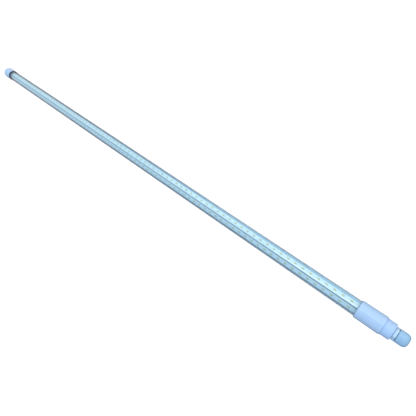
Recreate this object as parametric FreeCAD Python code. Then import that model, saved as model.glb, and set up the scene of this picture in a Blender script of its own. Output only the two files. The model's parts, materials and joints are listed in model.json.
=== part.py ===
"""Sealed LED tube light.

A clear tube holds an aluminium profile with a roof of two LED boards, and the driver under them.
A moulded cap closes the far end. At the near end a sleeve takes a screwed plug, and the plug carries
a cable gland.

Frame: origin on the tube's axis at the middle of its length, +X towards the gland, +Z on the LED side.
Millimetres.
"""
import FreeCAD, Part
import math
import os

Vec = FreeCAD.Vector

# Clear tube
TUBE_LENGTH = 1175.0
TUBE_RADIUS = 13.0
TUBE_WALL = 1.0

# Clearances
GLUE_GAP = 0.05          # bonded sleeves and caps round the tube
LINER_GAP = 0.1          # parts that lie in the tube or in the profile
THREAD_GAP = 0.1         # radial room in the screwed joints
SLIDING_GAP = 0.06       # rings that slide in a bore
BOARD_GAP = 0.05         # between a board and the profile's lips

# Aluminium profile
PROFILE_WALL = 0.9
RIDGE_BELOW_TUBE = 5.6   # from the tube's outside down to the roof's ridge
ROOF_SLOPE = math.radians(30.0)
LIP_REACH = 0.7          # how far a lip covers the board's edge
LIP_THICKNESS = 0.5
LIP_WALL = 0.8
LIP_TO_TUBE = 1.7        # from a lip's outer corner to the tube's bore
PROFILE_BEYOND_BOARDS = 3.0
PROFILE_FAR_STOP = 7.0   # from the tube's far end to the profile

# LED boards and packages
BOARD_THICKNESS = 1.0
BOARD_START = 0.75       # board's inner edge, along the slope from the ridge
BOARD_NEAR_MARGIN = 15.7  # board beyond the first LED
BOARD_FAR_MARGIN = 26.4   # board beyond the last LED
LED_PITCH = 14.31
LED_LENGTH = 3.5
LED_WIDTH = 2.8
LED_HEIGHT = 0.7
LED_BEVEL = 0.3
FIRST_LED_FROM_TUBE_END = 36.7
LAST_LED_ROOM = 30.0     # least distance from the last LED to the tube's far end

# Insulating sleeve and driver board
LINER_WALL = 0.4
LINER_OVERHANG = 1.0
DRIVER_LENGTH = 185.0
DRIVER_BEYOND_PROFILE = 5.0
DRIVER_BOARD_THICKNESS = 1.2
SOLDER_ROOM = 4.0        # from the profile's inside to the driver board's underside

# Components on the driver board: the distance of each middle from the board's near end
TERMINAL_PLACE = 4.6
FUSE_PLACE = 20.0
VARISTOR_PLACE = 30.0
FILM_CAPACITOR_PLACE = 41.0
INDUCTOR_PLACE = 54.0
BRIDGE_PLACE = 66.0
INPUT_CAPACITOR_PLACE = 85.0
TRANSFORMER_PLACE = 112.0
CHIP_PLACE = 130.0
OUTPUT_CAPACITOR_PLACE = 152.0
COMPONENT_ROOM = 0.3     # from a component's top edge to the insulating sleeve
CAN_ROOM = 0.8           # from a lying capacitor to the insulating sleeve
CAN_EDGE = 0.6
FUSE_RADIUS = 1.7
FUSE_LENGTH = 9.0
VARISTOR_THICKNESS = 4.0
VARISTOR_WIDTH = 7.0
FILM_CAPACITOR_LENGTH = 10.0
FILM_CAPACITOR_WIDTH = 5.0
BRIDGE_LENGTH = 6.5
BRIDGE_WIDTH = 8.0
BRIDGE_HEIGHT = 2.6
INPUT_CAPACITOR_LENGTH = 20.0
OUTPUT_CAPACITOR_LENGTH = 16.0
CHIP_LENGTH = 5.0
CHIP_WIDTH = 4.0
CHIP_HEIGHT = 1.6
INDUCTOR_FLANGE = 1.2
INDUCTOR_WAIST = 0.8     # waist over flange
TRANSFORMER_LENGTH = 12.0
TRANSFORMER_WIDTH = 8.2
TRANSFORMER_LIMB = 1.8
TRANSFORMER_YOKE = 1.2

# Terminal block
TERMINAL_LENGTH = 8.0
TERMINAL_WIDTH = 10.0
TERMINAL_POLE_PITCH = 5.0
TERMINAL_SCREW_RADIUS = 1.4
TERMINAL_SCREW_LENGTH = 3.2
TERMINAL_SCREW_SINK = 0.5
TERMINAL_SLOT_WIDTH = 0.6
TERMINAL_ENTRY_RADIUS = 1.3
TERMINAL_ENTRY_DEPTH = 5.0
TERMINAL_ENTRY_HEIGHT = 2.4

# Far end cap
CAP_LENGTH = 35.4
CAP_WALL = 0.95
CAP_OVERLAP = 20.0       # tube held in the cap
CAP_EDGE = 8.0
CAP_END_WALL = 3.0
CAP_SHOULDER = 2.0       # step that the tube's end meets
FAR_SEAL_WIDTH = 3.0
SEAL_STEP = 0.15         # seal ring below the cap's surface

# Near end sleeve
SLEEVE_LENGTH = 39.3
SLEEVE_WALL = 1.6
SLEEVE_OVERLAP = 24.2    # tube held in the sleeve
SLEEVE_EDGE = 0.7
NEAR_SEAL_WIDTH = 1.0
NEAR_SEAL_WALL = 0.6

# End plug
PLUG_HEAD_LENGTH = 13.7
PLUG_HEAD_STEP = 0.35    # head above the sleeve's bore
PLUG_TAPER = 0.3         # how much the head narrows towards the gland
PLUG_EDGE = 0.6
PLUG_HEAD_GAP = 0.3      # between the sleeve's end and the plug's head
PLUG_SPIGOT_LENGTH = 12.0
PLUG_WALL = 1.15
PLUG_END_WALL = 8.0
SEAL_RING_THICKNESS = 1.2
O_RING_CORD = 1.5
O_RING_GROOVE_DEPTH = 1.2
O_RING_GROOVE_WIDTH = 1.9
O_RING_ROUNDING = 0.45   # edge radius over the pressed ring's height
O_RING_PLACES = (3.0, 7.4)   # groove centres from the spigot's tip

# Cable gland, from the cable outwards
CABLE_RADIUS = 4.0
INSERT_WALL = 1.6        # seal insert inside the gland body's bore
INSERT_LENGTH = 9.0
INSERT_BELOW_CLAW = 2.6
CLAW_SEAT = 0.5          # step between the body's bore and the claw ring's inside
CLAW_WALL = 0.9
CLAW_LENGTH = 7.4
CLAW_IN_BODY = 4.0
CLAW_SLOTS = 6
CLAW_SLOT_WIDTH = 1.0
CLAW_SLOT_LENGTH = 4.6
CLAW_NOSE = 2.0          # length of the claw ring's cone
CLAW_NOSE_BLUNT = 0.3
NOSE_GAP = 0.15          # between the claw ring and the nut's cone
BODY_WALL = 2.0
NUT_THREAD_WALL = 1.14
NUT_THREAD_LENGTH = 10.0
NUT_THREAD_RELIEF = 0.4
NUT_WALL = 2.2
NUT_LENGTH = 16.2
NUT_DOME = 7.0           # length of the dome, an oval in section
NUT_MOUTH_ROOM = 0.5     # nut's mouth round the cable
NUT_MOUTH_LAND = 0.3     # flat round the mouth
NUT_RING_THICKNESS = 0.9
NUT_RING_WALL = 1.4
GASKET_THICKNESS = 0.8
GASKET_WALL = 1.7
HEX_WALL = 1.3           # from the nut's thread to the neck's flats
HEX_LENGTH = 4.4
HEX_CORNER_ROUNDING = 0.32
HEX_TURN = -17.0         # degrees about +X, where the neck's thread ends

# Wires
WIRE_RADIUS = 0.6
WIRE_BEND = 1.3
WIRE_PAD_FROM_EDGE = 3.5     # from the board's outer edge to the wire's pad
WIRE_PAD_FROM_END = 2.2
WIRE_FROM_PROFILE = 2.6
WIRE_LIFT = 3.0
JUMPER_RADIUS = 0.5
JUMPER_REACH = 2.6
JUMPER_LIFT = 1.6
JUMPER_PLACES = (2.4, 5.0)   # from the boards' far end

# Places along the axis
TUBE_NEAR = TUBE_LENGTH / 2
TUBE_FAR = -TUBE_LENGTH / 2
FIRST_LED = TUBE_NEAR - FIRST_LED_FROM_TUBE_END
LED_COUNT = math.floor((FIRST_LED - LAST_LED_ROOM - TUBE_FAR) / LED_PITCH) + 1
LAST_LED = FIRST_LED - (LED_COUNT - 1) * LED_PITCH
BOARD_NEAR = FIRST_LED + BOARD_NEAR_MARGIN
BOARD_FAR = LAST_LED - BOARD_FAR_MARGIN
PROFILE_NEAR = BOARD_NEAR + PROFILE_BEYOND_BOARDS
PROFILE_FAR = TUBE_FAR + PROFILE_FAR_STOP
DRIVER_NEAR = PROFILE_NEAR + DRIVER_BEYOND_PROFILE
DRIVER_FAR = DRIVER_NEAR - DRIVER_LENGTH
CAP_MOUTH = TUBE_FAR + CAP_OVERLAP
SLEEVE_MOUTH = TUBE_NEAR - SLEEVE_OVERLAP
SLEEVE_END = SLEEVE_MOUTH + SLEEVE_LENGTH
PLUG_TIP = TUBE_NEAR - PLUG_SPIGOT_LENGTH
PLUG_SHOULDER = TUBE_NEAR + SEAL_RING_THICKNESS
PLUG_HEAD = SLEEVE_END + PLUG_HEAD_GAP
PLUG_END = PLUG_HEAD + PLUG_HEAD_LENGTH
PLUG_INSIDE_END = PLUG_END - PLUG_END_WALL
HEX_START = PLUG_END + GASKET_THICKNESS
HEX_END = HEX_START + HEX_LENGTH
NUT_THREAD_END = HEX_END + NUT_THREAD_LENGTH
NUT_START = HEX_END + NUT_RING_THICKNESS
NUT_END = NUT_START + NUT_LENGTH
CLAW_START = NUT_THREAD_END - CLAW_IN_BODY
CLAW_END = CLAW_START + CLAW_LENGTH

# Radii and heights that follow from the values above
TUBE_BORE = TUBE_RADIUS - TUBE_WALL
RIDGE_HEIGHT = TUBE_RADIUS - RIDGE_BELOW_TUBE
PROFILE_RADIUS = TUBE_BORE - LINER_GAP
CAVITY_RADIUS = PROFILE_RADIUS - PROFILE_WALL
LINER_RADIUS = CAVITY_RADIUS - LINER_GAP
LINER_BORE = LINER_RADIUS - LINER_WALL
LINER_TOP = -BOARD_THICKNESS - PROFILE_WALL - LINER_GAP
DRIVER_TOP = DRIVER_BOARD_THICKNESS + SOLDER_ROOM - CAVITY_RADIUS
BONDED_BORE = TUBE_RADIUS + GLUE_GAP
CAP_RADIUS = BONDED_BORE + CAP_WALL
SLEEVE_RADIUS = BONDED_BORE + SLEEVE_WALL
PLUG_THREAD_RADIUS = BONDED_BORE - THREAD_GAP
PLUG_HEAD_RADIUS = BONDED_BORE + PLUG_HEAD_STEP
PLUG_SPIGOT_RADIUS = TUBE_BORE - SLIDING_GAP
O_RING_SEAT = PLUG_SPIGOT_RADIUS - O_RING_GROOVE_DEPTH
PLUG_BORE = O_RING_SEAT - PLUG_WALL
GLAND_BORE = CABLE_RADIUS + INSERT_WALL
GLAND_THREAD_RADIUS = GLAND_BORE + BODY_WALL
CLAW_BORE = GLAND_BORE + CLAW_SEAT
CLAW_RADIUS = CLAW_BORE + CLAW_WALL
NUT_THREAD_RADIUS = CLAW_RADIUS + SLIDING_GAP + NUT_THREAD_WALL
NUT_RADIUS = NUT_THREAD_RADIUS + THREAD_GAP + NUT_WALL
NUT_MOUTH = CABLE_RADIUS + NUT_MOUTH_ROOM
HEX_APOTHEM = NUT_THREAD_RADIUS + HEX_WALL
HEX_CORNER = HEX_APOTHEM / math.cos(math.radians(30)) - HEX_CORNER_ROUNDING


def reach_on_roof(radius, height):
    """Distance down the slope from the ridge at which a line above the boards' faces meets a circle."""
    along = RIDGE_HEIGHT * math.sin(ROOF_SLOPE)
    ridge_square = height ** 2 + RIDGE_HEIGHT ** 2 + 2 * RIDGE_HEIGHT * height * math.cos(ROOF_SLOPE)
    return along + math.sqrt(along ** 2 - ridge_square + radius ** 2)


BOARD_EDGE = reach_on_roof(TUBE_BORE - LIP_TO_TUBE, BOARD_GAP + LIP_THICKNESS) - LIP_WALL - BOARD_GAP
BOARD_WIDTH = BOARD_EDGE - BOARD_START
BOARD_MIDDLE = BOARD_START + BOARD_WIDTH / 2


def bar(radius, start, end):
    """Solid round bar along X."""
    return Part.makeCylinder(radius, end - start, Vec(start, 0, 0), Vec(1, 0, 0))


def ring(outer, inner, start, end):
    """Round tube along X."""
    return bar(outer, start, end).cut(bar(inner, start - 1, end + 1))


def turned(outline):
    """Solid of revolution about X. The outline is a closed list of (x, radius)."""
    points = [Vec(x, 0, radius) for x, radius in outline]
    face = Part.Face(Part.makePolygon(points + points[:1]))
    return face.revolve(Vec(0, 0, 0), Vec(1, 0, 0), 360)


def extruded(outline, start, end):
    """Prism along X. The outline is a closed list of (y, z)."""
    points = [Vec(start, y, z) for y, z in outline]
    face = Part.Face(Part.makePolygon(points + points[:1]))
    return face.extrude(Vec(end - start, 0, 0))


def block(centre, size):
    """Box by its centre and its full size."""
    low = [c - s / 2 for c, s in zip(centre, size)]
    return Part.makeBox(size[0], size[1], size[2], Vec(*low))


def mirrored(shape):
    """The same shape on the other side of the lamp's middle plane."""
    return shape.mirror(Vec(0, 0, 0), Vec(0, 1, 0))


def round_edges(shape, x):
    """The shape's full-circle edges at a place along the axis."""
    return [e for e in shape.Edges if abs(e.CenterOfMass.x - x) < 0.01 and len(e.Vertexes) == 1]


def on_roof(distance, height):
    """(y, z) at a distance down the right slope from the ridge, and a height above the boards' outer faces."""
    y = distance * math.cos(ROOF_SLOPE) + height * math.sin(ROOF_SLOPE)
    z = RIDGE_HEIGHT - distance * math.sin(ROOF_SLOPE) + height * math.cos(ROOF_SLOPE)
    return y, z


def roof_top(y, height):
    """Z at a sideways place y, at a height above the boards' outer faces."""
    return RIDGE_HEIGHT + height / math.cos(ROOF_SLOPE) - abs(y) * math.tan(ROOF_SLOPE)


def below_roof(radius, height, start, end):
    """Round bar with its top cut to the roof's two slopes, at a height above the boards' outer faces."""
    reach = 4 * radius
    apex = roof_top(0, height)
    low = roof_top(reach, height)
    above = [(0, apex), (reach, low), (reach, reach), (-reach, reach), (-reach, low)]
    return bar(radius, start, end).cut(extruded(above, start - 1, end + 1))


def wire_path(points):
    """Straight runs joined by tangent arcs."""
    edges = []
    last = points[0]
    for before, corner, after in zip(points, points[1:], points[2:]):
        into = (corner - before).normalize()
        away = (after - corner).normalize()
        turn = into.getAngle(away)
        setback = WIRE_BEND * math.tan(turn / 2)
        first = corner - into * setback
        second = corner + away * setback
        towards_centre = (away - into).normalize()
        middle = corner + towards_centre * (WIRE_BEND / math.cos(turn / 2) - WIRE_BEND)
        edges.append(Part.makeLine(last, first))
        edges.append(Part.Arc(first, middle, second).toShape())
        last = second
    edges.append(Part.makeLine(last, points[-1]))
    return Part.Wire(edges)


def wire(points, radius):
    """Round wire along a path of straight runs and arcs."""
    section = Part.Wire(Part.makeCircle(radius, points[0], points[1] - points[0]))
    return wire_path(points).makePipeShell([section], True, False)


def outer_tube():
    return ring(TUBE_RADIUS, TUBE_BORE, TUBE_FAR, TUBE_NEAR)


def profile_lip():
    """Lip that stands on the right slope and hooks over the board's outer edge."""
    inside = BOARD_EDGE + BOARD_GAP
    outside = inside + LIP_WALL
    foot = -BOARD_THICKNESS - PROFILE_WALL / 2
    return extruded([
        on_roof(inside, foot),
        on_roof(inside, BOARD_GAP),
        on_roof(inside - LIP_REACH, BOARD_GAP),
        on_roof(inside - LIP_REACH, BOARD_GAP + LIP_THICKNESS),
        on_roof(outside, BOARD_GAP + LIP_THICKNESS),
        on_roof(outside, foot),
    ], PROFILE_FAR, PROFILE_NEAR)


def heatsink_profile():
    """Hollow extrusion: a round belly in the tube, two slopes for the boards, and a lip on each slope."""
    body = below_roof(PROFILE_RADIUS, -BOARD_THICKNESS, PROFILE_FAR, PROFILE_NEAR)
    cavity_top = -BOARD_THICKNESS - PROFILE_WALL
    cavity = below_roof(CAVITY_RADIUS, cavity_top, PROFILE_FAR - 1, PROFILE_NEAR + 1)
    lip = profile_lip()
    return body.fuse([lip, mirrored(lip)]).cut(cavity).removeSplitter()


def led_board():
    """Right-hand board, lying on the profile's slope."""
    return extruded([
        on_roof(BOARD_START, -BOARD_THICKNESS),
        on_roof(BOARD_EDGE, -BOARD_THICKNESS),
        on_roof(BOARD_EDGE, 0),
        on_roof(BOARD_START, 0),
    ], BOARD_FAR, BOARD_NEAR)


def led_package(x):
    """One LED package on the right-hand board, its long top edges bevelled."""
    low = BOARD_MIDDLE - LED_WIDTH / 2
    high = BOARD_MIDDLE + LED_WIDTH / 2
    return extruded([
        on_roof(low, 0),
        on_roof(high, 0),
        on_roof(high, LED_HEIGHT - LED_BEVEL),
        on_roof(high - LED_BEVEL, LED_HEIGHT),
        on_roof(low + LED_BEVEL, LED_HEIGHT),
        on_roof(low, LED_HEIGHT - LED_BEVEL),
    ], x - LED_LENGTH / 2, x + LED_LENGTH / 2)


def led_row():
    return [led_package(FIRST_LED - i * LED_PITCH) for i in range(LED_COUNT)]


def insulating_sleeve():
    """Thin plastic liner of the profile's cavity, round the driver."""
    start = DRIVER_FAR - LINER_OVERHANG
    end = PROFILE_NEAR + LINER_OVERHANG
    outside = below_roof(LINER_RADIUS, LINER_TOP, start, end)
    inside = below_roof(LINER_BORE, LINER_TOP - LINER_WALL, start - 1, end + 1)
    return outside.cut(inside)


def driver_board():
    underside = DRIVER_TOP - DRIVER_BOARD_THICKNESS
    half_width = math.sqrt((LINER_BORE - LINER_GAP) ** 2 - underside ** 2)
    centre = ((DRIVER_FAR + DRIVER_NEAR) / 2, 0, underside + DRIVER_BOARD_THICKNESS / 2)
    return block(centre, (DRIVER_LENGTH, 2 * half_width, DRIVER_BOARD_THICKNESS))


def headroom(width):
    """Height over the driver board for a box of a width, under the insulating sleeve."""
    return roof_top(width / 2, LINER_TOP - LINER_WALL) - COMPONENT_ROOM - DRIVER_TOP


def component(place, length, width, height):
    """Box that stands on the driver board."""
    return block((DRIVER_NEAR - place, 0, DRIVER_TOP + height / 2), (length, width, height))


def lying_can(place, radius, length):
    """Can that lies along the driver board and rests on it."""
    start = DRIVER_NEAR - place - length / 2
    can = Part.makeCylinder(radius, length, Vec(start, 0, DRIVER_TOP + radius), Vec(1, 0, 0))
    return can.makeFillet(CAN_EDGE, round_edges(can, start) + round_edges(can, start + length))


def can_radius():
    """The largest lying can that the cavity takes, less its clearance."""
    height = roof_top(0, LINER_TOP - LINER_WALL) - DRIVER_TOP
    return height * math.cos(ROOF_SLOPE) / (1 + math.cos(ROOF_SLOPE)) - CAN_ROOM


def film_capacitor():
    width = FILM_CAPACITOR_WIDTH
    return component(FILM_CAPACITOR_PLACE, FILM_CAPACITOR_LENGTH, width, headroom(width))


def filter_inductor():
    """Ferrite drum with a wound waist."""
    radius = can_radius()
    height = headroom(2 * radius)
    foot = Vec(DRIVER_NEAR - INDUCTOR_PLACE, 0, DRIVER_TOP)
    waist = Part.makeCylinder(radius * INDUCTOR_WAIST, height, foot)
    low = Part.makeCylinder(radius, INDUCTOR_FLANGE, foot)
    high = low.translated(Vec(0, 0, height - INDUCTOR_FLANGE))
    return waist.fuse([low, high])


def terminal_poles():
    return (-TERMINAL_POLE_PITCH / 2, TERMINAL_POLE_PITCH / 2)


def terminal_height():
    return headroom(TERMINAL_WIDTH)


def terminal_block():
    """Two-pole block: each pole has a round cable entry that faces the plug and a screw from above."""
    body = component(TERMINAL_PLACE, TERMINAL_LENGTH, TERMINAL_WIDTH, terminal_height())
    screw_x = DRIVER_NEAR - TERMINAL_PLACE
    mouth = screw_x + TERMINAL_LENGTH / 2
    screw_bottom = DRIVER_TOP + terminal_height() - TERMINAL_SCREW_SINK - TERMINAL_SCREW_LENGTH
    for y in terminal_poles():
        entry_start = Vec(mouth - TERMINAL_ENTRY_DEPTH, y, DRIVER_TOP + TERMINAL_ENTRY_HEIGHT)
        entry = Part.makeCylinder(TERMINAL_ENTRY_RADIUS, TERMINAL_ENTRY_DEPTH + 1, entry_start, Vec(1, 0, 0))
        screw_hole = Part.makeCylinder(TERMINAL_SCREW_RADIUS, terminal_height(), Vec(screw_x, y, screw_bottom))
        body = body.cut(entry).cut(screw_hole)
    return body


def terminal_screws():
    """Slotted clamping screws, one in each pole."""
    x = DRIVER_NEAR - TERMINAL_PLACE
    top = DRIVER_TOP + terminal_height() - TERMINAL_SCREW_SINK
    screws = []
    for y in terminal_poles():
        foot = Vec(x, y, top - TERMINAL_SCREW_LENGTH)
        screw = Part.makeCylinder(TERMINAL_SCREW_RADIUS, TERMINAL_SCREW_LENGTH, foot)
        slot_size = (3 * TERMINAL_SCREW_RADIUS, TERMINAL_SLOT_WIDTH, 2 * TERMINAL_SLOT_WIDTH)
        screws.append(screw.cut(block((x, y, top), slot_size)))
    return screws


def transformer_height():
    return headroom(TRANSFORMER_WIDTH)


def winding_size():
    """(length, height) of the winding between the core's limbs and yokes."""
    return TRANSFORMER_LENGTH - 2 * TRANSFORMER_LIMB, transformer_height() - 2 * TRANSFORMER_YOKE


def transformer_core():
    """Ferrite frame round the winding."""
    length, height = winding_size()
    frame = component(TRANSFORMER_PLACE, TRANSFORMER_LENGTH, TRANSFORMER_WIDTH, transformer_height())
    window = component(TRANSFORMER_PLACE, length, 2 * TRANSFORMER_WIDTH, height)
    return frame.cut(window.translated(Vec(0, 0, TRANSFORMER_YOKE)))


def transformer_winding():
    length, height = winding_size()
    winding = component(TRANSFORMER_PLACE, length, TRANSFORMER_WIDTH, height)
    return winding.translated(Vec(0, 0, TRANSFORMER_YOKE))


def far_end_cap():
    """Round cap with a socket for the tube and a relief behind the tube's end."""
    tip = CAP_MOUTH - CAP_LENGTH
    relief_tip = tip + CAP_END_WALL
    body = bar(CAP_RADIUS, tip, CAP_MOUTH)
    body = body.makeFillet(CAP_EDGE, round_edges(body, tip))
    socket = bar(BONDED_BORE, TUBE_FAR, CAP_MOUTH + 1)
    relief = bar(TUBE_RADIUS - CAP_SHOULDER, relief_tip, TUBE_FAR + 1)
    relief = relief.makeFillet(CAP_EDGE - CAP_END_WALL, round_edges(relief, relief_tip))
    return body.cut(socket).cut(relief)


def end_sleeve():
    """Sleeve bonded over the tube's end, with the plug's thread in its outer half."""
    body = bar(SLEEVE_RADIUS, SLEEVE_MOUTH, SLEEVE_END)
    body = body.makeFillet(SLEEVE_EDGE, round_edges(body, SLEEVE_MOUTH) + round_edges(body, SLEEVE_END))
    return body.cut(bar(BONDED_BORE, SLEEVE_MOUTH - 1, SLEEVE_END + 1))


def plug_seal_ring():
    """Flat ring between the tube's end and the plug's shoulder."""
    return ring(PLUG_THREAD_RADIUS, PLUG_SPIGOT_RADIUS + SLIDING_GAP, TUBE_NEAR, PLUG_SHOULDER)


def o_ring_middles():
    return [PLUG_TIP + place for place in O_RING_PLACES]


def end_plug():
    """Head, thread and hollow spigot, with two O-ring grooves and a tapped hole for the gland."""
    tip_radius = PLUG_HEAD_RADIUS - PLUG_TAPER
    tapped_hole = GLAND_THREAD_RADIUS + THREAD_GAP / 2
    plug = turned([
        (PLUG_TIP, PLUG_BORE),
        (PLUG_TIP, PLUG_SPIGOT_RADIUS - PLUG_EDGE),
        (PLUG_TIP + PLUG_EDGE, PLUG_SPIGOT_RADIUS),
        (PLUG_SHOULDER, PLUG_SPIGOT_RADIUS),
        (PLUG_SHOULDER, PLUG_THREAD_RADIUS),
        (PLUG_HEAD, PLUG_THREAD_RADIUS),
        (PLUG_HEAD, PLUG_HEAD_RADIUS),
        (PLUG_END, tip_radius),
        (PLUG_END, tapped_hole),
        (PLUG_INSIDE_END, tapped_hole),
        (PLUG_INSIDE_END, PLUG_BORE),
    ])
    tip_edges = [e for e in round_edges(plug, PLUG_END) if e.Curve.Radius > tip_radius - 0.01]
    plug = plug.makeFillet(PLUG_EDGE, tip_edges)
    for middle in o_ring_middles():
        half_groove = O_RING_GROOVE_WIDTH / 2
        plug = plug.cut(ring(PLUG_SPIGOT_RADIUS + 1, O_RING_SEAT, middle - half_groove, middle + half_groove))
    return plug


def plug_o_rings():
    """O-rings pressed oval between their grooves and the tube's bore."""
    outer = TUBE_BORE - SLIDING_GAP / 2
    rounding = O_RING_ROUNDING * (outer - O_RING_SEAT)
    rings = []
    for middle in o_ring_middles():
        body = ring(outer, O_RING_SEAT, middle - O_RING_CORD / 2, middle + O_RING_CORD / 2)
        rings.append(body.makeFillet(rounding, [e for e in body.Edges if len(e.Vertexes) == 1]))
    return rings


def gland_gasket():
    inner = GLAND_THREAD_RADIUS + THREAD_GAP
    return ring(inner + GASKET_WALL, inner, PLUG_END, HEX_START)


def hexagon():
    """Hexagonal neck with its corners turned down."""
    corner = HEX_APOTHEM / math.cos(math.radians(30))
    outline = []
    for i in range(6):
        angle = math.radians(60 * i + HEX_TURN)
        outline.append((corner * math.cos(angle), corner * math.sin(angle)))
    return extruded(outline, HEX_START, HEX_END).common(bar(HEX_CORNER, HEX_START, HEX_END))


def gland_body():
    """Hexagonal neck with a thread into the plug on one side and a thread for the dome nut on the other."""
    thread_in = bar(GLAND_THREAD_RADIUS, PLUG_INSIDE_END, HEX_START + 1)
    thread_out = bar(NUT_THREAD_RADIUS, HEX_END - 1, NUT_THREAD_END)
    body = hexagon().fuse([thread_in, thread_out])
    body = body.cut(bar(GLAND_BORE, PLUG_INSIDE_END - 1, NUT_THREAD_END + 1))
    return body.cut(bar(CLAW_RADIUS + SLIDING_GAP, CLAW_START, NUT_THREAD_END + 1))


def gland_nut_ring():
    inner = NUT_THREAD_RADIUS + THREAD_GAP / 2
    return ring(inner + NUT_RING_WALL, inner, HEX_END, NUT_START)


def nose_cone():
    """The nut's inner cone, which presses the claw ring: (x, radius) at its start and at the mouth."""
    start = (CLAW_END - CLAW_NOSE, CLAW_RADIUS + NOSE_GAP)
    end = (CLAW_END + CLAW_NOSE / 2, NUT_MOUTH)
    return start, end


def domed_bar():
    """The nut's solid outside: a round bar that a quarter of an oval closes down to the mouth's flat."""
    land = NUT_MOUTH + NUT_MOUTH_LAND
    shoulder = NUT_END - NUT_DOME
    tip = Vec(NUT_END, 0, land)
    top = Vec(shoulder, 0, NUT_RADIUS)
    oval = Part.Ellipse(tip, top, Vec(shoulder, 0, land))
    dome = Part.ArcOfEllipse(oval, 0, math.pi / 2).toShape()
    back = Vec(NUT_START, 0, NUT_RADIUS)
    sides = Part.makePolygon([top, back, Vec(NUT_START, 0, 0), Vec(NUT_END, 0, 0), tip])
    section = Part.Face(Part.Wire([dome] + sides.Edges))
    return section.revolve(Vec(0, 0, 0), Vec(1, 0, 0), 360)


def gland_dome_nut():
    """Dome nut: threaded bore, inner cone for the claw ring, and a round mouth."""
    outside = domed_bar()
    cone_start, cone_end = nose_cone()
    thread = NUT_THREAD_RADIUS + THREAD_GAP
    thread_end = NUT_THREAD_END + NUT_THREAD_RELIEF
    hollow = turned([
        (NUT_START - 1, 0),
        (NUT_START - 1, thread),
        (thread_end, thread),
        (thread_end + NUT_THREAD_RELIEF, cone_start[1]),
        cone_start,
        cone_end,
        (NUT_END + 1, NUT_MOUTH),
        (NUT_END + 1, 0),
    ])
    return outside.cut(hollow)


def gland_claw_ring():
    """Slotted ring whose fingers lean on the nut's cone."""
    cone_start, cone_end = nose_cone()
    slope = (cone_start[1] - cone_end[1]) / (cone_end[0] - cone_start[0])
    nose = CLAW_END - CLAW_NOSE_BLUNT
    nose_radius = cone_start[1] - slope * (nose - cone_start[0]) - NOSE_GAP
    shoulder = cone_start[0] - NOSE_GAP
    claw = turned([
        (CLAW_START, CLAW_BORE),
        (CLAW_START, CLAW_RADIUS),
        (shoulder, CLAW_RADIUS),
        (nose, nose_radius),
        (nose, nose_radius - CLAW_WALL / 2),
        (shoulder, CLAW_BORE),
    ])
    for i in range(CLAW_SLOTS):
        corner = Vec(CLAW_END - CLAW_SLOT_LENGTH, 0, -CLAW_SLOT_WIDTH / 2)
        slot = Part.makeBox(CLAW_SLOT_LENGTH + 1, CLAW_RADIUS + 1, CLAW_SLOT_WIDTH, corner)
        slot.rotate(Vec(0, 0, 0), Vec(1, 0, 0), 360 * (i + 0.5) / CLAW_SLOTS)
        claw = claw.cut(slot)
    return claw


def gland_seal_insert():
    """Rubber bush inside the claw ring, its bore the size of the cable."""
    end = CLAW_END - INSERT_BELOW_CLAW
    narrow = GLAND_BORE - SLIDING_GAP
    wide = CLAW_BORE - SLIDING_GAP
    return turned([
        (end - INSERT_LENGTH, CABLE_RADIUS),
        (end - INSERT_LENGTH, narrow),
        (CLAW_START, narrow),
        (CLAW_START, wide),
        (end, wide),
        (end, CABLE_RADIUS),
    ])


def lead_wire():
    """Wire on the right side, from the driver board past the profile's end and down onto the board's pad."""
    y = (BOARD_EDGE - WIRE_PAD_FROM_EDGE) * math.cos(ROOF_SLOPE)
    up_x = PROFILE_NEAR + WIRE_FROM_PROFILE
    pad_x = BOARD_NEAR - WIRE_PAD_FROM_END
    pad_z = roof_top(y, 0) + WIRE_RADIUS
    points = [
        Vec(up_x, y, DRIVER_TOP),
        Vec(up_x, y, pad_z + WIRE_LIFT),
        Vec(pad_x, y, pad_z + WIRE_LIFT),
        Vec(pad_x, y, pad_z),
    ]
    return wire(points, WIRE_RADIUS)


def board_jumpers():
    """Two short wires over the ridge at the far end, from one board to the other."""
    foot = roof_top(JUMPER_REACH, 0) + JUMPER_RADIUS
    over = RIDGE_HEIGHT + JUMPER_LIFT
    jumpers = []
    for place in JUMPER_PLACES:
        x = BOARD_FAR + place
        points = [
            Vec(x, JUMPER_REACH, foot),
            Vec(x, JUMPER_REACH, over),
            Vec(x, -JUMPER_REACH, over),
            Vec(x, -JUMPER_REACH, foot),
        ]
        jumpers.append(wire(points, JUMPER_RADIUS))
    return jumpers


def lamp_nodes():
    """Pieces of the tube, the boards and the two ends."""
    board = led_board()
    row = led_row()
    lead = lead_wire()
    cap_seal = ring(CAP_RADIUS - SEAL_STEP, BONDED_BORE, CAP_MOUTH, CAP_MOUTH + FAR_SEAL_WIDTH)
    sleeve_seal = ring(BONDED_BORE + NEAR_SEAL_WALL, BONDED_BORE, SLEEVE_MOUTH - NEAR_SEAL_WIDTH, SLEEVE_MOUTH)
    return {
        "outer_tube": outer_tube(),
        "heatsink_profile": heatsink_profile(),
        "led_board_left": mirrored(board),
        "led_board_right": board,
        "leds_left": [mirrored(led) for led in row],
        "leds_right": row,
        "lead_wire_positive": lead,
        "lead_wire_negative": mirrored(lead),
        "board_jumpers": board_jumpers(),
        "far_end_cap": far_end_cap(),
        "far_seal_ring": cap_seal,
        "end_sleeve": end_sleeve(),
        "near_seal_ring": sleeve_seal,
    }


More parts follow.
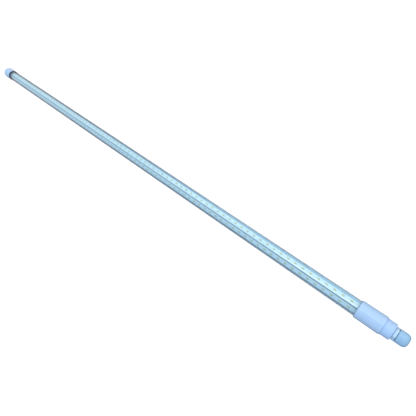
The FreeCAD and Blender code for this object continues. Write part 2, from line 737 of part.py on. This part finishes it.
def driver_nodes():
    """The driver board, what stands on it, and its insulating sleeve."""
    can = can_radius()
    return {
        "insulating_sleeve": insulating_sleeve(),
        "driver_board": driver_board(),
        "terminal_block": terminal_block(),
        "terminal_screws": terminal_screws(),
        "fuse_resistor": lying_can(FUSE_PLACE, FUSE_RADIUS, FUSE_LENGTH),
        "varistor": component(VARISTOR_PLACE, VARISTOR_THICKNESS, VARISTOR_WIDTH, headroom(VARISTOR_WIDTH)),
        "film_capacitor": film_capacitor(),
        "filter_inductor": filter_inductor(),
        "bridge_rectifier": component(BRIDGE_PLACE, BRIDGE_LENGTH, BRIDGE_WIDTH, BRIDGE_HEIGHT),
        "input_capacitor": lying_can(INPUT_CAPACITOR_PLACE, can, INPUT_CAPACITOR_LENGTH),
        "transformer_core": transformer_core(),
        "transformer_winding": transformer_winding(),
        "controller_chip": component(CHIP_PLACE, CHIP_LENGTH, CHIP_WIDTH, CHIP_HEIGHT),
        "output_capacitor": lying_can(OUTPUT_CAPACITOR_PLACE, can, OUTPUT_CAPACITOR_LENGTH),
    }


def plug_nodes():
    """The screwed plug with its seals, and the cable gland in it."""
    return {
        "plug_seal_ring": plug_seal_ring(),
        "end_plug": end_plug(),
        "plug_o_rings": plug_o_rings(),
        "gland_gasket": gland_gasket(),
        "gland_body": gland_body(),
        "gland_nut_ring": gland_nut_ring(),
        "gland_claw_ring": gland_claw_ring(),
        "gland_seal_insert": gland_seal_insert(),
        "gland_dome_nut": gland_dome_nut(),
    }


def main():
    os.makedirs("parts", exist_ok=True)
    for name, shape in {**lamp_nodes(), **driver_nodes(), **plug_nodes()}.items():
        if isinstance(shape, list):
            shape = Part.makeCompound(shape)
        print(name, len(shape.Solids), "solids", round(shape.Volume, 1), "mm3", shape.isValid())
        shape.exportStep("parts/" + name + ".step")


main()
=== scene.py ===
"""Looks of the sealed LED tube light: finishes, small details, floor, light and camera. Lengths are in metres."""

import json
import math

import bmesh
import bpy
from mathutils import Matrix, Vector


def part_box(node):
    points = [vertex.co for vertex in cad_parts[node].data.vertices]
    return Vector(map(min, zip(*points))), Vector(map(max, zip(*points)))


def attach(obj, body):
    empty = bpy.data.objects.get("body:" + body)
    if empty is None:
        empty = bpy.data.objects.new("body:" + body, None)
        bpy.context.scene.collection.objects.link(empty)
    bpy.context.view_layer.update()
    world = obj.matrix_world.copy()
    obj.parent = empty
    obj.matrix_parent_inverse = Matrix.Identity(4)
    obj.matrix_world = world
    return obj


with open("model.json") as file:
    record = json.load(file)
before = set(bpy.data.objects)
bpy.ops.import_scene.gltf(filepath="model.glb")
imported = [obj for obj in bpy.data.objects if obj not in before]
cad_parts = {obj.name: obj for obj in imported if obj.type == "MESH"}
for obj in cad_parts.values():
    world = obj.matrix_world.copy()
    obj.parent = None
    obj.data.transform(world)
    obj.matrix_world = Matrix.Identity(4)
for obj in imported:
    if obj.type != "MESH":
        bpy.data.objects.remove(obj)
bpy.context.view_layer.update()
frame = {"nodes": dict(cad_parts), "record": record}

MM = 0.001
ALONG = Vector((1, 0, 0))

# The lamp as it is hung: turned about its own axis, so that one LED board faces the camera more than the other
LEAN = math.radians(11.2)
LAMP_UP = Vector((0, math.sin(LEAN), math.cos(LEAN)))
LAMP_SIDE = Vector((0, math.cos(LEAN), -math.sin(LEAN)))

# LED packages on their boards
ROOF_SLOPE = math.radians(30)
LED_COUNT = 78
LED_LENGTH = 3.5 * MM
LED_WIDTH = 2.8 * MM
LED_HEIGHT = 0.7 * MM
WINDOW_LENGTH = 3.0 * MM
WINDOW_WIDTH = 2.2 * MM
WINDOW_CORNER = 0.5 * MM
WINDOW_RISE = 0.05 * MM
SOLDER_LENGTH = 0.5 * MM
SOLDER_WIDTH = 2.0 * MM
SOLDER_HEIGHT = 0.35 * MM
SOLDER_DROP = 0.75           # of its height, at the outer end

# Aluminium profile and boards
# Painted shade along the ridge, where the boards meet: a dark stripe this far either side of the middle, softened
# over this much at its edges
RIDGE_SHADE_HALF_WIDTH = 0.9 * MM
RIDGE_SHADE_BLUR = 0.1 * MM
FACE_UPWARDS = 0.7           # a board's faces look up by more than this part of a unit, and its cut edges by less

# Threads of the end plug and of the cable gland
THREAD_PITCH = 1.5 * MM
THREAD_DEPTH = 0.7 * MM
THREAD_FLAT = 0.1 * MM

# Clear tube: the share of light that each of its faces mirrors when seen straight on, how fast that share grows
# towards the tube's edges, and where the tint of its rim begins, from 0 in the middle to 1 at the edge
CLEAR_MIRROR = 0.05
MIRROR_GROWTH = 5.0
RIM_START = 0.6

# Camera: above the gland end, looking down and along the tube
CAMERA_ALONG = 0.5795
CAMERA_HEIGHT = 0.5893
CAMERA_TILT = math.radians(28.91)
CAMERA_ROLL = math.radians(55.92)
CAMERA_SWING = math.radians(0.123)
CAMERA_LENS = 30.29
SENSOR = 36.0

# Floor and light. The stretches of the surroundings say how much of a direction points up, or towards +Y.
FLOOR_BELOW = 0.45
FLOOR_SIZE = 60.0
FLOOR_GLOW = 0.16
WORLD_ABOVE = 1.0
WORLD_BELOW = 0.16
WORLD_TURN = math.radians(12)
WORLD_STRENGTH_HEIGHTS = (-0.5, 0.1)
WORLD_COLOUR_HEIGHTS = (-0.4, 0.35)
WORLD_BLUE_SIDE = (-0.5, 0.2)
SIDE_LIGHT_ANGLE = math.radians(55)
SIDE_LIGHT_DISTANCE = 2.2
SIDE_LIGHT_SIZE = (3.2, 2.0)
SIDE_LIGHT_POWER = 16.0
OVERHEAD_LIGHT_ANGLE = math.radians(12)
OVERHEAD_LIGHT_DISTANCE = 1.5
OVERHEAD_LIGHT_ALONG = 0.327
OVERHEAD_LIGHT_SIZE = (0.67, 0.22)
OVERHEAD_LIGHT_POWER = 2.4


def linear(code):
    """A colour's sRGB hex code as linear red, green, blue and alpha."""
    parts = [int(code[i:i + 2], 16) / 255 for i in (0, 2, 4)]
    return [c / 12.92 if c <= 0.04045 else ((c + 0.055) / 1.055) ** 2.4 for c in parts] + [1.0]


def add(tree, kind, inputs=None, **settings):
    """Adds a node with its settings. Its inputs are constant values, or the outputs that feed them."""
    made = tree.nodes.new("ShaderNode" + kind)
    for name, value in settings.items():
        setattr(made, name, value)
    for socket, value in (inputs or {}).items():
        if isinstance(value, bpy.types.NodeSocket):
            tree.links.new(value, made.inputs[socket])
        else:
            made.inputs[socket].default_value = value
    return made


def new_material(name):
    """An empty material, and the place on the piece in millimetres for its patterns."""
    material = bpy.data.materials.new(name)
    material.use_nodes = True
    tree = material.node_tree
    tree.nodes.clear()
    place = add(tree, "TexCoord").outputs["Object"]
    in_mm = add(tree, "VectorMath", {0: place, 3: 1 / MM}, operation="SCALE").outputs[0]
    return material, tree, in_mm


def noise(tree, place, grain, detail=3.0, stretch=(1, 1, 1)):
    """Cloudy pattern from 0 to 1 whose lumps are about a grain across, in millimetres, stretched along an axis."""
    scaled = add(tree, "VectorMath", {0: place, 1: [1 / s for s in stretch]}, operation="MULTIPLY").outputs[0]
    return add(tree, "TexNoise", {"Vector": scaled, "Scale": 1 / grain, "Detail": detail}).outputs["Fac"]


def rising(tree, value, stretch, low=0.0, high=1.0):
    """Runs from low to high while a value goes over a stretch, and stays level outside it."""
    return add(tree, "MapRange", {0: value, 1: stretch[0], 2: stretch[1], 3: low, 4: high}).outputs[0]


def between(tree, pattern, low, high):
    """A pattern's middle stretch turned to run from low to high."""
    return rising(tree, pattern, (0.3, 0.7), low, high)


def tint(tree, pattern, first, second):
    """Colour that goes with a pattern from one colour to another, each a hex code or an output."""
    ends = [linear(end) if isinstance(end, str) else end for end in (first, second)]
    return add(tree, "Mix", {0: pattern, 6: ends[0], 7: ends[1]}, data_type="RGBA").outputs[2]


def bump(tree, height, depth, distance=0.1 * MM):
    """Surface relief from a pattern."""
    return add(tree, "Bump", {"Height": height, "Strength": depth, "Distance": distance}).outputs[0]


def finish(tree, inputs=None, shader=None):
    """Ends a material in a Principled surface, or in another shader."""
    shader = shader or add(tree, "BsdfPrincipled", inputs).outputs[0]
    add(tree, "OutputMaterial", {"Surface": shader})


def clear_polycarbonate():
    """Extruded polycarbonate, clear and polished: faint draw lines along it, and a mirror that grows to its edges."""
    material, tree, place = new_material("clear_polycarbonate")
    draw_lines = noise(tree, place, 1.2, stretch=(400, 1, 1))
    haze = noise(tree, place, 14.0, stretch=(8, 1, 1))
    mirror = add(tree, "BsdfPrincipled", {
        "Base Color": linear("F4FAFF"),
        "Metallic": 1.0,
        "Roughness": between(tree, haze, 0.09, 0.12),
        "Normal": bump(tree, draw_lines, 0.02),
    }).outputs[0]
    edge = add(tree, "LayerWeight", {"Blend": 0.5}).outputs["Facing"]
    rim = rising(tree, edge, (RIM_START, 1.0))
    seen_through = add(tree, "BsdfTransparent", {"Color": tint(tree, rim, "F7FCFF", "B4CAD8")}).outputs[0]
    grazing = add(tree, "Math", {0: edge, 1: MIRROR_GROWTH}, operation="POWER").outputs[0]
    growing = {0: grazing, 1: 1 - CLEAR_MIRROR, 2: CLEAR_MIRROR}
    share = add(tree, "Math", growing, operation="MULTIPLY_ADD").outputs[0]
    both = add(tree, "MixShader", {0: share, 1: seen_through, 2: mirror}).outputs[0]
    finish(tree, shader=both)
    return material


def mill_aluminium():
    """Extruded aluminium, mill finish: satin, with fine die lines, and painted shade: dark where the two boards meet
    at the ridge.
    """
    material, tree, place = new_material("mill_aluminium")
    die_lines = noise(tree, place, 0.5, stretch=(800, 1, 1))
    clouds = noise(tree, place, 30.0)
    bare = tint(tree, clouds, "8FADBF", "9DBBCA")
    # Painted shade: the top of the profile is painted dark where the two boards meet at the ridge, as if in shade
    # there
    parts = add(tree, "SeparateXYZ", {0: place}).outputs
    sideways = add(tree, "Math", {0: parts["Y"]}, operation="ABSOLUTE").outputs[0]
    outer = (RIDGE_SHADE_HALF_WIDTH + RIDGE_SHADE_BLUR) / MM
    inner = (RIDGE_SHADE_HALF_WIDTH - RIDGE_SHADE_BLUR) / MM
    in_ridge_shade = rising(tree, sideways, (outer, inner))
    on_top = add(tree, "Math", {0: parts["Z"], 1: 0.0}, operation="GREATER_THAN").outputs[0]
    ridge_shade = add(tree, "Math", {0: in_ridge_shade, 1: on_top}, operation="MULTIPLY").outputs[0]
    finish(tree, {
        # the dark blue-grey is painted shade at the ridge, laid over the bare metal's own colour
        "Base Color": tint(tree, ridge_shade, bare, "2F4C66"),
        "Metallic": 1.0,
        "Roughness": between(tree, die_lines, 0.32, 0.45),
        "Normal": bump(tree, die_lines, 0.25),
    })
    return material


def white_solder_mask():
    """White solder mask on a board's face, satin with a faint orange peel. The cut edges are bare and dark."""
    material, tree, place = new_material("white_solder_mask")
    peel = noise(tree, place, 0.8)
    clouds = noise(tree, place, 18.0)
    facing = add(tree, "TexCoord").outputs["Normal"]
    upwards = add(tree, "SeparateXYZ", {0: facing}).outputs["Z"]
    cut_edge = add(tree, "Math", {0: upwards, 1: FACE_UPWARDS}, operation="LESS_THAN").outputs[0]
    face = tint(tree, clouds, "CFECF5", "D9F2F9")
    finish(tree, {
        "Base Color": tint(tree, cut_edge, face, "56768C"),
        "Roughness": between(tree, peel, 0.5, 0.62),
        "Normal": bump(tree, peel, 0.1),
    })
    return material


def led_housing():
    """White reflector housing of an LED package, moulded and slightly glossy."""
    material, tree, place = new_material("led_housing")
    speckle = noise(tree, place, 0.3)
    finish(tree, {
        "Base Color": tint(tree, speckle, "BFD0C0", "CCDAC9"),
        "Roughness": between(tree, speckle, 0.3, 0.42),
        "Normal": bump(tree, speckle, 0.1, 0.02 * MM),
    })
    return material


def thread_ridges(tree, place, first, last):
    """Screw thread from one place along the lamp to another: right-handed ridges, from 0 to 1 at the crest."""
    parts = add(tree, "SeparateXYZ", {0: place}).outputs
    turn = add(tree, "Math", {0: parts["Z"], 1: parts["Y"]}, operation="ARCTAN2").outputs[0]
    lead = -THREAD_PITCH / MM / (2 * math.pi)
    half_pitch = THREAD_PITCH / MM / 2
    flat = THREAD_FLAT / MM
    wound = add(tree, "Math", {0: turn, 1: lead, 2: parts["X"]}, operation="MULTIPLY_ADD").outputs[0]
    flank = add(tree, "Math", {0: wound, 1: half_pitch}, operation="PINGPONG").outputs[0]
    ridge = rising(tree, flank, (flat, half_pitch - flat))
    after = add(tree, "Math", {0: parts["X"], 1: first / MM}, operation="GREATER_THAN").outputs[0]
    before = add(tree, "Math", {0: parts["X"], 1: last / MM}, operation="LESS_THAN").outputs[0]
    along = add(tree, "Math", {0: after, 1: before}, operation="MULTIPLY").outputs[0]
    return add(tree, "Math", {0: ridge, 1: along}, operation="MULTIPLY").outputs[0]


def moulded(name, dark, light, roughness, grain=0.6, depth=0.12, thread=None):
    """Moulded plastic: a fine even skin, faint flow clouds, light scuffs, and ridges where the piece has a thread."""
    material, tree, place = new_material(name)
    skin = noise(tree, place, grain)
    flow = noise(tree, place, 12.0, stretch=(2.5, 1, 1))
    scuffs = noise(tree, place, 2.0, 6.0, (6, 1, 1))
    relief = bump(tree, skin, depth)
    if thread:
        ridges = thread_ridges(tree, place, *thread)
        relief = add(tree, "Bump", {"Height": ridges, "Distance": THREAD_DEPTH, "Normal": relief}).outputs[0]
    finish(tree, {
        "Base Color": tint(tree, flow, dark, light),
        "Roughness": between(tree, scuffs, roughness, roughness + 0.12),
        "Normal": relief,
    })
    return material


def moulded_rubber(name, dark, light, roughness):
    """Moulded rubber: dull, with a fine grain and dust in it."""
    material, tree, place = new_material(name)
    grain = noise(tree, place, 0.25)
    dust = noise(tree, place, 5.0, 6.0)
    finish(tree, {
        "Base Color": tint(tree, dust, dark, light),
        "Roughness": between(tree, dust, roughness, roughness + 0.15),
        "Normal": bump(tree, grain, 0.3, 0.05 * MM),
    })
    return material


def frosted_film():
    """Thermoformed polyester film, frosted: pale and half see-through."""
    material, tree, place = new_material("frosted_film")
    frost = noise(tree, place, 0.4)
    clouds = noise(tree, place, 10.0)
    finish(tree, {
        "Base Color": tint(tree, clouds, "DCE6E8", "ECF2F3"),
        "Roughness": between(tree, frost, 0.45, 0.6),
        "Alpha": 0.6,
        "Normal": bump(tree, frost, 0.2, 0.05 * MM),
    })
    return material


def green_solder_mask():
    """Green solder mask over copper tracks: the tracks show as lighter raised lines."""
    material, tree, place = new_material("green_solder_mask")
    cell = add(tree, "TexBrick", {
        "Vector": place, "Scale": 1.0, "Mortar Size": 0.25, "Mortar Smooth": 0.3,
        "Brick Width": 9.0, "Row Height": 2.2,
    }).outputs["Fac"]
    speckle = noise(tree, place, 0.7)
    relief = add(tree, "Math", {0: cell, 1: speckle}, operation="ADD").outputs[0]
    finish(tree, {
        "Base Color": tint(tree, cell, "1B5B36", "2F7C4B"),
        "Roughness": between(tree, speckle, 0.3, 0.42),
        "Normal": bump(tree, relief, 0.25, 0.05 * MM),
    })
    return material


def zinc_plate():
    """Zinc-plated steel: bright, with a faint crystal mottle and fine scratches."""
    material, tree, place = new_material("zinc_plate")
    mottle = noise(tree, place, 0.5, 6.0)
    finish(tree, {
        "Base Color": tint(tree, mottle, "AEB4BA", "CDD2D6"),
        "Metallic": 1.0,
        "Roughness": between(tree, mottle, 0.22, 0.4),
        "Normal": bump(tree, mottle, 0.15, 0.03 * MM),
    })
    return material


def plug_thread():
    """The end plug's thread runs from the flat seal ring to the end of the sleeve."""
    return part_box("plug_seal_ring")[1].x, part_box("end_sleeve")[1].x


def nut_thread():
    """The dome nut's thread runs from the thin ring behind the nut to the gland body's end."""
    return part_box("gland_nut_ring")[1].x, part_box("gland_body")[1].x


FINISHES = {
    "clear_tube": clear_polycarbonate,
    "extruded_aluminium": mill_aluminium,
    "white_board": white_solder_mask,
    "led_package": led_housing,
    "moulded_end": lambda: moulded("glossy_moulding", "A5C8EE", "AFD1F4", 0.12),
    "moulded_plug": lambda: moulded("satin_moulding", "A3C7F4", "ADD1F8", 0.28, thread=plug_thread()),
    "neck_nylon": lambda: moulded("neck_nylon", "B0D5F4", "BADDF8", 0.2, thread=nut_thread()),
    "gland_nylon": lambda: moulded("gland_nylon", "8BB9DF", "99C5E7", 0.2),
    "grey_seal": lambda: moulded_rubber("grey_seal_rubber", "6D8BA6", "7F9CB6", 0.45),
    "dark_seal": lambda: moulded_rubber("seal_rubber", "223E66", "32527A", 0.4),
    "insert_rubber": lambda: moulded_rubber("insert_rubber", "1E2124", "2C3034", 0.55),
    "insulating_film": frosted_film,
    "green_board": green_solder_mask,
    "terminal_plastic": lambda: moulded("terminal_moulding", "1B6B3D", "23784A", 0.35),
    "plated_steel": zinc_plate,
    "resistor_ceramic": lambda: moulded("resistor_lacquer", "6E9AA3", "7DA8B0", 0.4),
    "varistor_coating": lambda: moulded("varistor_epoxy", "1C4A9A", "2656A6", 0.3, grain=1.5, depth=0.3),
    "film_capacitor_case": lambda: moulded("capacitor_case", "C2A33C", "CDB04C", 0.35),
    "ferrite": lambda: moulded("sintered_ferrite", "26272A", "34363A", 0.6, grain=0.3, depth=0.3),
    "black_moulding": lambda: moulded("moulded_epoxy", "0E0E11", "17171B", 0.45),
    "capacitor_can": lambda: moulded("shrunk_sleeve", "171C36", "1F2642", 0.3),
    "winding_tape": lambda: moulded("polyester_tape", "D8BA34", "E2C746", 0.25),
    "red_wire": lambda: moulded("red_insulation", "9C1414", "AA1E1E", 0.4),
    "black_wire": lambda: moulded("black_insulation", "0C0C0D", "161618", 0.4),
    "white_wire": lambda: moulded("white_insulation", "D6D9DA", "E2E4E5", 0.4),
}


def finish_cad_nodes():
    """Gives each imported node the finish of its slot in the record."""
    made = {}
    slot_of = {part["node"]: part["material_slot"] for part in frame["record"]["subparts"]}
    for name, piece in frame["nodes"].items():
        slot = slot_of[name]
        if slot not in made:
            made[slot] = FINISHES[slot]()
        piece.data.materials.clear()
        piece.data.materials.append(made[slot])


def piece_from(bm, name, material, body):
    """A finished piece from a bmesh, riding on a body."""
    mesh = bpy.data.meshes.new(name)
    bm.to_mesh(mesh)
    bm.free()
    mesh.materials.append(material)
    piece = bpy.data.objects.new(name, mesh)
    bpy.context.scene.collection.objects.link(piece)
    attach(piece, body)
    return piece


def copies(bm, places):
    """Repeats what a bmesh holds at each place along the lamp, and takes the first away."""
    first = bm.verts[:] + bm.edges[:] + bm.faces[:]
    for along in places:
        copy = bmesh.ops.duplicate(bm, geom=first)["geom"]
        verts = [v for v in copy if isinstance(v, bmesh.types.BMVert)]
        bmesh.ops.translate(bm, verts=verts, vec=(along, 0, 0))
    bmesh.ops.delete(bm, geom=first, context="VERTS")


def led_places():
    """Where the packages of a row stand along the lamp."""
    low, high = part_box("leds_right")
    pitch = (high.x - low.x - LED_LENGTH) / (LED_COUNT - 1)
    return [high.x - LED_LENGTH / 2 - pitch * i for i in range(LED_COUNT)]


def onto_board(bm, side):
    """Takes what was made flat, over the middle of a package's foot, onto a board: side 1 is right and -1 left."""
    low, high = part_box("leds_right")
    foot_y = low.y + LED_WIDTH / 2 * math.cos(ROOF_SLOPE)
    foot_z = low.z + LED_WIDTH / 2 * math.sin(ROOF_SLOPE)
    bmesh.ops.rotate(bm, verts=bm.verts, matrix=Matrix.Rotation(-ROOF_SLOPE * side, 3, "X"))
    bmesh.ops.translate(bm, verts=bm.verts, vec=(0, foot_y * side, foot_z))


def phosphor_windows(side, name, material):
    """The yellow silicone that fills each package's cup: a rounded window that stands a little proud."""
    bm = bmesh.new()
    bmesh.ops.create_grid(bm, x_segments=1, y_segments=1, size=0.5)
    bmesh.ops.scale(bm, verts=bm.verts, vec=(WINDOW_LENGTH, WINDOW_WIDTH, 1))
    bmesh.ops.bevel(bm, geom=bm.verts[:], offset=WINDOW_CORNER, offset_type="OFFSET", segments=3, profile=0.5,
                    affect="VERTICES", material=-1)
    bmesh.ops.translate(bm, verts=bm.verts, vec=(0, 0, LED_HEIGHT - WINDOW_RISE))
    raised = bmesh.ops.extrude_face_region(bm, geom=bm.faces[:])["geom"]
    top = [f for f in raised if isinstance(f, bmesh.types.BMFace)]
    bmesh.ops.translate(bm, verts=top[0].verts, vec=(0, 0, 1.5 * WINDOW_RISE))
    bmesh.ops.inset_region(bm, faces=top, thickness=WINDOW_CORNER, depth=WINDOW_RISE / 2)
    bmesh.ops.recalc_face_normals(bm, faces=bm.faces)
    onto_board(bm, side)
    copies(bm, led_places())
    return piece_from(bm, name, material, "lamp")


def solder_joints(side, name, material):
    """Solder at both ends of each package: a fillet from the pad up the end."""
    bm = bmesh.new()
    for end in (-1, 1):
        joint = bmesh.ops.create_cube(bm, size=1)["verts"]
        outer_top = [v for v in joint if v.co.z > 0 and v.co.x * end > 0]
        bmesh.ops.scale(bm, verts=joint, vec=(SOLDER_LENGTH, SOLDER_WIDTH, SOLDER_HEIGHT))
        bmesh.ops.translate(bm, verts=joint, vec=(end * (LED_LENGTH + SOLDER_LENGTH) / 2, 0, SOLDER_HEIGHT / 2))
        bmesh.ops.translate(bm, verts=outer_top, vec=(0, 0, -SOLDER_DROP * SOLDER_HEIGHT))
    onto_board(bm, side)
    copies(bm, led_places())
    return piece_from(bm, name, material, "lamp")


def yellow_phosphor():
    """Silicone full of yellow phosphor: matt yellow with a faint grain, and a soft wet gloss over it."""
    material, tree, place = new_material("yellow_phosphor")
    grain = noise(tree, place, 0.25)
    finish(tree, {
        "Base Color": tint(tree, grain, "BBC05A", "C7CC6C"),
        "Roughness": between(tree, grain, 0.25, 0.4),
        "Normal": bump(tree, grain, 0.1, 0.02 * MM),
    })
    return material


def tin_solder():
    """Reflowed tin solder: bright and smooth, slightly frosted."""
    material, tree, place = new_material("tin_solder")
    frost = noise(tree, place, 0.15)
    finish(tree, {
        "Base Color": tint(tree, frost, "8F9AA3", "AAB4BC"),
        "Metallic": 1.0,
        "Roughness": between(tree, frost, 0.2, 0.4),
        "Normal": bump(tree, frost, 0.2, 0.02 * MM),
    })
    return material


def add_led_details():
    """Windows and solder for the packages of both rows."""
    phosphor = yellow_phosphor()
    solder = tin_solder()
    for side, hand in ((1, "right"), (-1, "left")):
        windows = phosphor_windows(side, "phosphor_" + hand, phosphor)
        joints = solder_joints(side, "led_solder_" + hand, solder)


def set_camera():
    """Camera over the gland end, tilted along the tube towards the far cap and rolled about its line of sight."""
    tilted = ALONG * math.sin(CAMERA_TILT) + LAMP_UP * math.cos(CAMERA_TILT)
    back = tilted * math.cos(CAMERA_SWING) + LAMP_SIDE * math.sin(CAMERA_SWING)
    level = LAMP_SIDE * math.cos(CAMERA_SWING) - tilted * math.sin(CAMERA_SWING)
    raised = back.cross(level)
    right = level * math.cos(CAMERA_ROLL) - raised * math.sin(CAMERA_ROLL)
    up = level * math.sin(CAMERA_ROLL) + raised * math.cos(CAMERA_ROLL)
    place = ALONG * CAMERA_ALONG + LAMP_UP * CAMERA_HEIGHT
    data = bpy.data.cameras.new("camera")
    data.lens = CAMERA_LENS
    data.sensor_width = SENSOR
    camera = bpy.data.objects.new("camera", data)
    axes = Matrix((right, up, back)).transposed()
    camera.matrix_world = Matrix.Translation(place) @ axes.to_4x4()
    bpy.context.scene.collection.objects.link(camera)
    bpy.context.scene.camera = camera


def set_floor():
    """Plain white floor, a little lit from within, well below the hung lamp, whose underside doesn't mirror it."""
    bm = bmesh.new()
    bmesh.ops.create_grid(bm, x_segments=1, y_segments=1, size=FLOOR_SIZE / 2)
    bmesh.ops.translate(bm, verts=bm.verts, vec=(0, 0, -FLOOR_BELOW))
    mesh = bpy.data.meshes.new("floor")
    bm.to_mesh(mesh)
    bm.free()
    floor = bpy.data.objects.new("floor", mesh)
    bpy.context.scene.collection.objects.link(floor)
    floor.visible_glossy = False
    floor.visible_diffuse = False
    material, tree, _ = new_material("floor_paint")
    finish(tree, {
        "Base Color": linear("FCFCFC"),
        "Roughness": 0.9,
        "Specular IOR Level": 0.0,
        "Emission Color": linear("FFFFFF"),
        "Emission Strength": FLOOR_GLOW,
    })
    mesh.materials.append(material)


def area_light(name, place, size, power):
    """Rectangular soft white light at a place, facing the lamp, its long side along the lamp."""
    data = bpy.data.lights.new(name, "AREA")
    data.shape = "RECTANGLE"
    data.size, data.size_y = size
    data.energy = power
    lamp = bpy.data.objects.new(name, data)
    facing = Vector((0, place.y, place.z)).normalized()
    axes = Matrix((ALONG, facing.cross(ALONG), facing)).transposed()
    lamp.matrix_world = Matrix.Translation(place) @ axes.to_4x4()
    bpy.context.scene.collection.objects.link(lamp)


def round_the_lamp(angle, distance, along):
    """A place at an angle about the lamp's axis, from straight up towards the right-hand board."""
    return Vector((along, distance * math.sin(angle), distance * math.cos(angle)))


def set_light():
    """Surroundings bright above, bluish to the left and dim below, a broad side light and a narrow overhead one."""
    world = bpy.data.worlds.new("studio")
    world.use_nodes = True
    tree = world.node_tree
    direction = add(tree, "TexCoord").outputs["Generated"]
    bright_side = [0, math.sin(WORLD_TURN), math.cos(WORLD_TURN)]
    height = add(tree, "VectorMath", {0: direction, 1: bright_side}, operation="DOT_PRODUCT").outputs["Value"]
    strength = rising(tree, height, WORLD_STRENGTH_HEIGHTS, WORLD_BELOW, WORLD_ABOVE)
    upper = rising(tree, height, WORLD_COLOUR_HEIGHTS)
    to_right = add(tree, "SeparateXYZ", {0: direction}).outputs["Y"]
    sky = tint(tree, rising(tree, to_right, WORLD_BLUE_SIDE), "D9E9FC", "EFEFEF")
    colour = tint(tree, upper, "FFDCC0", sky)
    background = tree.nodes["Background"]
    tree.links.new(colour, background.inputs["Color"])
    tree.links.new(strength, background.inputs["Strength"])
    bpy.context.scene.world = world
    side = round_the_lamp(SIDE_LIGHT_ANGLE, SIDE_LIGHT_DISTANCE, 0.0)
    area_light("side_light", side, SIDE_LIGHT_SIZE, SIDE_LIGHT_POWER)
    overhead = round_the_lamp(LEAN + OVERHEAD_LIGHT_ANGLE, OVERHEAD_LIGHT_DISTANCE, OVERHEAD_LIGHT_ALONG)
    area_light("overhead_light", overhead, OVERHEAD_LIGHT_SIZE, OVERHEAD_LIGHT_POWER)
    bpy.context.scene.view_settings.view_transform = "Standard"


finish_cad_nodes()
add_led_details()
set_camera()
set_floor()
set_light()
